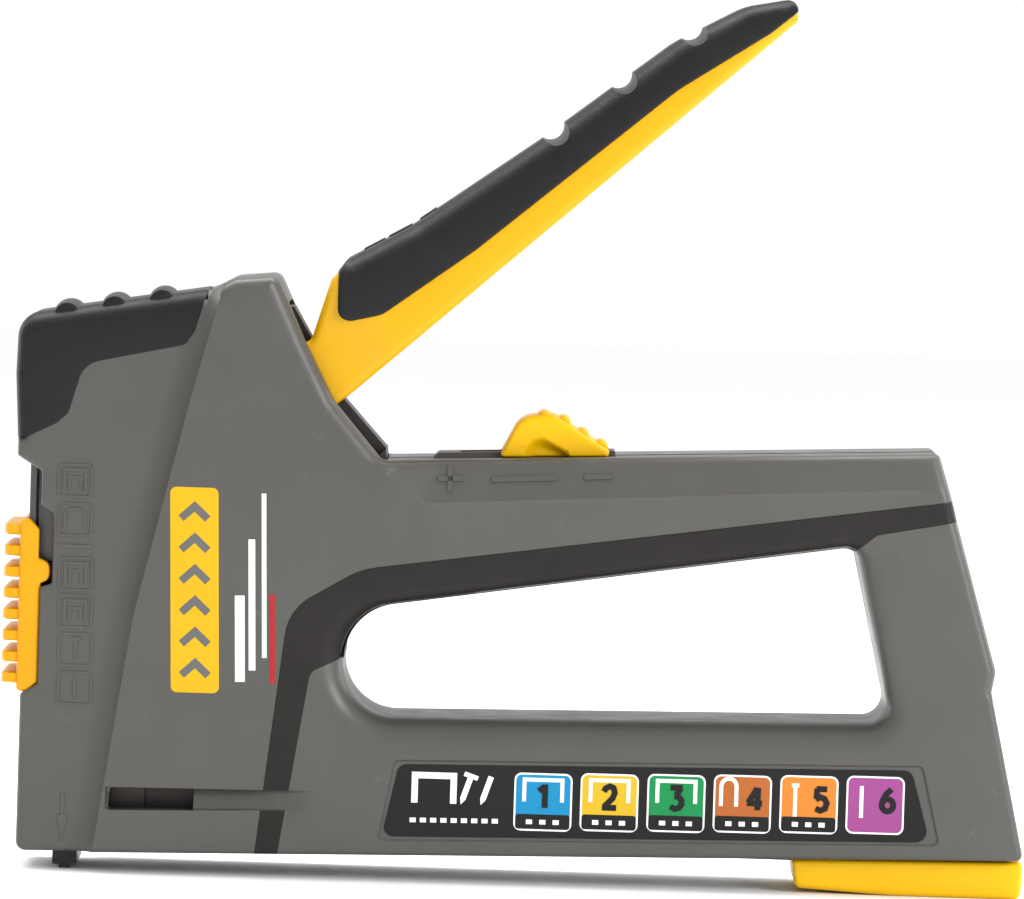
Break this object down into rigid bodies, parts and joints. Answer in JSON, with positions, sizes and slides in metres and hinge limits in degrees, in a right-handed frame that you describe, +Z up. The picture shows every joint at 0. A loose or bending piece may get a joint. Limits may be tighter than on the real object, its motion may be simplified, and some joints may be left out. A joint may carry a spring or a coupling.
{
  "type": "staple gun",
  "caption": "Hand staple gun with a squeeze handle over a finger-loop body, a sliding power knob, a front fastener selector and a pull-out magazine with a foot.",
  "frame": {"origin": "centre of the work face at the tip of the nose, where a fastener leaves", "axes": "+X from the nose towards the back of the finger loop, +Y across the tool from its left side to its right side, +Z up; the nose tip and the foot both stand on z = 0"},
  "size_m": [0.2006, 0.0324, 0.1739],
  "materials": {
    "housing_paint": "satin textured grey",
    "soft_black": "fine-grained matt",
    "yellow_paint": "satin yellow",
    "yellow_plastic": "satin yellow",
    "dark_plastic": "matt",
    "label_film": "printed film",
    "badge_film": "printed film",
    "plate_steel": "dark oiled",
    "bright_steel": "bright",
    "spring_steel": "blued"
  },
  "bodies": {
    "body": {"left_housing": "housing_paint", "right_housing": "housing_paint", "housing_screws": "bright_steel", "front_cap": "soft_black", "left_grip_strip": "soft_black", "right_grip_strip": "soft_black", "left_label": "label_film", "right_label": "label_film", "left_badge": "badge_film", "right_badge": "badge_film", "dust_shield": "dark_plastic", "front_plate": "plate_steel", "nose_guide": "plate_steel", "nose_rear_plate": "plate_steel", "plunger_damper": "soft_black", "pivot_pin": "bright_steel", "handle_spring": "spring_steel", "main_leaf": "spring_steel", "second_leaf": "spring_steel", "leaf_anchor": "plate_steel", "anchor_bolt": "bright_steel", "adjuster_rail": "dark_plastic", "power_detent": "spring_steel", "selector_detent": "spring_steel", "magazine_channel": "plate_steel", "magazine_detent": "spring_steel"},
    "handle": {"handle_shell": "yellow_paint", "handle_grip": "soft_black", "cocking_lever": "plate_steel", "lever_rivets": "bright_steel", "lever_cross_pin": "bright_steel"},
    "roller": {"lever_roller": "plate_steel"},
    "drive": {"plunger": "plate_steel", "driver_blade": "bright_steel", "blade_rivet": "bright_steel"},
    "power_adjuster": {"power_knob": "yellow_plastic", "fulcrum_block": "plate_steel", "knob_pin": "bright_steel"},
    "selector": {"selector_slide": "yellow_plastic", "selector_plate": "plate_steel"},
    "magazine": {"staple_rail": "bright_steel", "magazine_foot": "yellow_plastic", "magazine_end_block": "dark_plastic", "foot_screws": "bright_steel", "pusher_rod": "bright_steel", "pusher_spring": "spring_steel"},
    "follower": {"pusher": "plate_steel"}
  },
  "joints": [
    {"name": "handle_hinge", "type": "hinge", "parent": "body", "child": "handle", "pos_m": [0.031, 0, 0.09], "axis": [0, 1, 0], "range_deg": [0, 28], "stiffness_Nm_per_rad": 1.2, "springref_deg": -22.92, "deforming": ["handle_spring"]},
    {"name": "roller_turn", "type": "hinge", "parent": "handle", "child": "roller", "pos_m": [0.00092, 0, 0.0825], "axis": [0, 1, 0], "continuous": true},
    {"name": "drive_slide", "type": "slide", "parent": "body", "child": "drive", "axis": [0, 0, 1], "range_m": [0, 0.0151], "deforming": ["main_leaf", "second_leaf"]},
    {"name": "power_slide", "type": "slide", "parent": "body", "child": "power_adjuster", "axis": [-0.9992, 0, -0.0401], "range_m": [0, 0.012]},
    {"name": "selector_slide_joint", "type": "slide", "parent": "body", "child": "selector", "axis": [0, 0, 1], "range_m": [0, 0.009]},
    {"name": "magazine_slide", "type": "slide", "parent": "body", "child": "magazine", "axis": [1, 0, 0], "range_m": [0, 0.1]},
    {"name": "follower_slide", "type": "slide", "parent": "magazine", "child": "follower", "axis": [1, 0, 0], "range_m": [0, 0.09], "stiffness_N_per_m": 60, "springref_m": -0.05, "deforming": ["pusher_spring"]}
  ],
  "couplings": [
    {"joint": "drive_slide", "follows": "handle_hinge", "m_per_rad": 0.030694}
  ]
}
